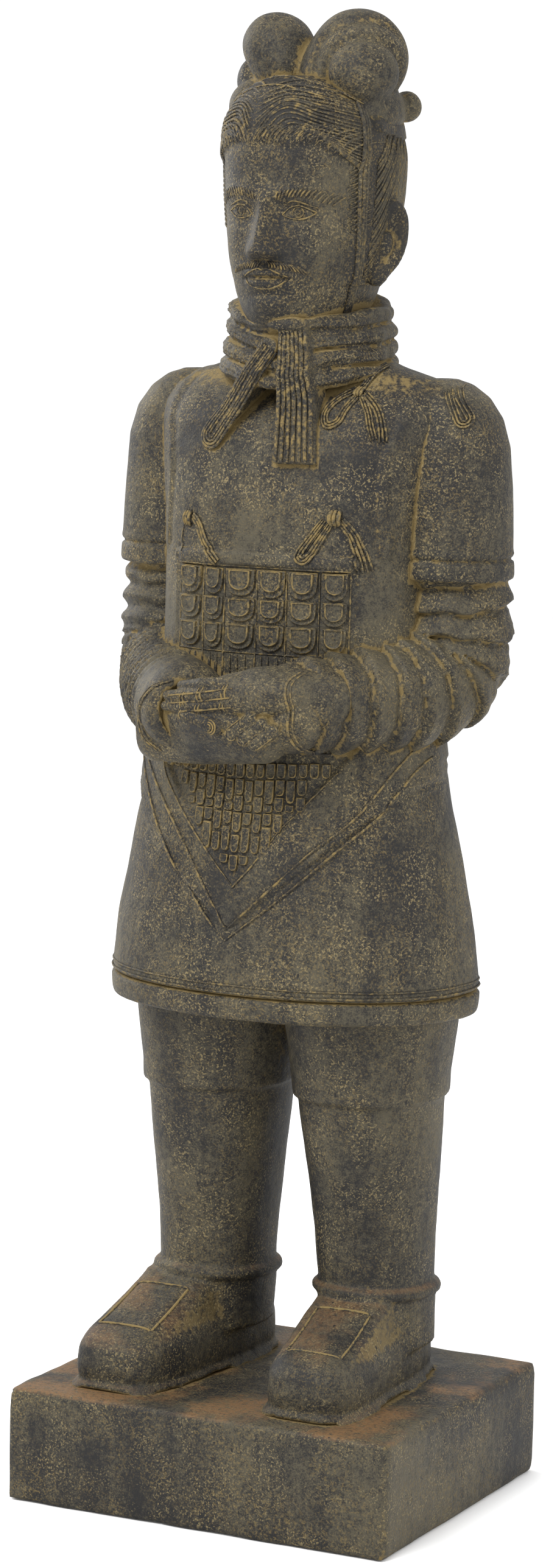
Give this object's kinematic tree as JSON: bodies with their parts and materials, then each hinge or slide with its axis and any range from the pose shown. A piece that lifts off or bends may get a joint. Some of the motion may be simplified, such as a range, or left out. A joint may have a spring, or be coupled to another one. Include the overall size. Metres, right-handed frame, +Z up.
{
  "type": "warrior statue",
  "caption": "Standing armoured warrior with clasped hands and a knotted headdress, cast in one with a square block plinth.",
  "frame": {"origin": "centre of the plinth's underside", "axes": "+Z up, the figure faces -Y, its left hand is on the +X side"},
  "size_m": [0.428, 0.375, 1.5],
  "materials": {
    "cast_stone": "matte charcoal cast stone with an ochre patina in the recesses"
  },
  "bodies": {
    "root": {"warrior_statue": "cast_stone"}
  },
  "joints": []
}
